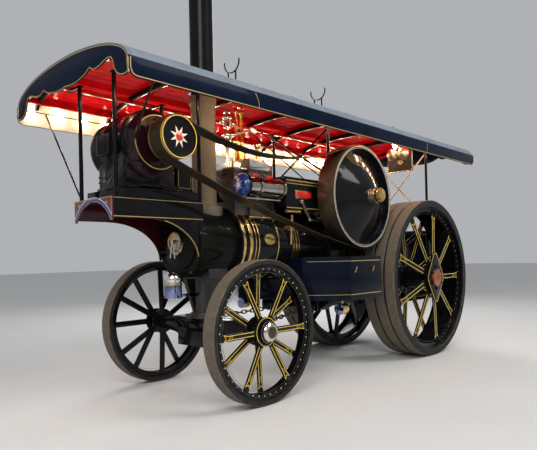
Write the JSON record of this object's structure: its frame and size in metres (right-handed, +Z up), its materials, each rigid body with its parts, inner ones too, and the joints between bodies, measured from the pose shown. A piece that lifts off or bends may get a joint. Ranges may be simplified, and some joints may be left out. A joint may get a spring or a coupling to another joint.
{
  "type": "steam traction engine",
  "caption": "Steam road locomotive with a full-length canopy, a belt-driven dynamo over the smokebox, a dished flywheel and rubber-banded spoked wheels.",
  "frame": {"origin": "on the ground, under the middle of the canopy", "axes": "+X to the rear along the canopy, +Y to the engine's right, +Z up"},
  "size_m": [6.23, 2.0806, 4.4],
  "materials": {
    "belt_leather": "dark oiled belt",
    "brass": "polished brass",
    "cast": "warm grey painted casting",
    "ceiling_red": "gloss red boards",
    "copper_red": "red cap, lined plate",
    "engine_black": "gloss black paint with fine yellow lining",
    "maroon_paint": "gloss dark maroon paint",
    "navy_paint": "gloss navy paint, gold edge line",
    "polished": "polished metal",
    "pulley_tan": "worn pulley face, black painted front",
    "roof_paint": "matt pale blue-grey",
    "rubber": "dusty worn rubber",
    "smoke_black": "satin heat-proof black",
    "steel": "bright machined steel"
  },
  "bodies": {
    "root": {"smokebox": "smoke_black", "boiler": "engine_black", "boiler_bands": "brass", "firebox": "engine_black", "hornplates": "engine_black", "chimney": "cast", "cylinder_block": "cast", "cylinder_cover": "polished", "valve_cylinder": "engine_black", "safety_valves": "brass", "motion_case": "engine_black", "crank_cover": "engine_black", "drive_belt": "belt_leather", "perch_bracket": "smoke_black", "steering_chains": "steel", "steering_gear": "engine_black", "rear_axle": "steel", "belly_tank": "engine_black", "tender": "engine_black", "drawbar": "engine_black", "platform": "maroon_paint", "valance": "maroon_paint", "dynamo_bed": "engine_black", "dynamo_frame": "maroon_paint", "dynamo_commutator": "cast", "canopy_roof": "roof_paint", "canopy_ceiling": "ceiling_red", "canopy_boards": "navy_paint", "canopy_ribs": "engine_black", "canopy_posts": "engine_black", "canopy_lattice": "engine_black", "roof_cradles": "engine_black", "front_lamp": "polished", "tank_lamps": "polished", "switchboard": "engine_black", "governor": "polished", "canopy_rails": "ceiling_red"},
    "smokebox_door": {"smokebox_door": "smoke_black"},
    "fire_door": {"fire_door": "engine_black"},
    "crank": {"crankshaft": "steel", "flywheel": "engine_black", "flywheel_hub": "brass"},
    "dynamo_rotor": {"dynamo_pulley": "pulley_tan"},
    "front_axle": {"front_axle": "engine_black"},
    "front_wheel_left": {"front_tyre_left": "rubber", "front_wheel_left": "engine_black", "front_hub_left": "brass"},
    "front_wheel_right": {"front_tyre_right": "rubber", "front_wheel_right": "engine_black", "front_hub_right": "brass"},
    "rear_wheel_left": {"rear_tyre_left": "rubber", "rear_wheel_left": "engine_black", "rear_hub_left": "copper_red"},
    "rear_wheel_right": {"rear_tyre_right": "rubber", "rear_wheel_right": "engine_black", "rear_hub_right": "copper_red"}
  },
  "joints": [
    {"name": "crank_spin", "type": "hinge", "parent": "root", "child": "crank", "pos_m": [0.3, 0, 2.11], "axis": [0, 1, 0], "continuous": true},
    {"name": "dynamo_spin", "type": "hinge", "parent": "root", "child": "dynamo_rotor", "pos_m": [-2.48, 0, 2.444], "axis": [0, 1, 0], "continuous": true},
    {"name": "steer", "type": "hinge", "parent": "root", "child": "front_axle", "pos_m": [-1.597, 0, 0.69], "axis": [0, 0, 1], "range_deg": [-25, 25], "deforming": ["steering_chains"]},
    {"name": "front_left_spin", "type": "hinge", "parent": "front_axle", "child": "front_wheel_left", "pos_m": [-1.597, -0.843, 0.69], "axis": [0, 1, 0], "continuous": true},
    {"name": "front_right_spin", "type": "hinge", "parent": "front_axle", "child": "front_wheel_right", "pos_m": [-1.597, 0.843, 0.69], "axis": [0, 1, 0], "continuous": true},
    {"name": "rear_left_spin", "type": "hinge", "parent": "root", "child": "rear_wheel_left", "pos_m": [1.692, -0.75, 1.067], "axis": [0, 1, 0], "continuous": true},
    {"name": "rear_right_spin", "type": "hinge", "parent": "root", "child": "rear_wheel_right", "pos_m": [1.692, 0.75, 1.067], "axis": [0, 1, 0], "continuous": true},
    {"name": "smokebox_door_swing", "type": "hinge", "parent": "root", "child": "smokebox_door", "pos_m": [-1.947, 0.284, 1.553], "axis": [0, 0, -1], "range_deg": [0, 90]},
    {"name": "fire_door_swing", "type": "hinge", "parent": "root", "child": "fire_door", "pos_m": [1.584, 0.215, 1.4], "axis": [0, 0, 1], "range_deg": [0, 90]}
  ],
  "couplings": [
    {"joint": "dynamo_spin", "follows": "crank_spin", "ratio": 3.3476}
  ]
}
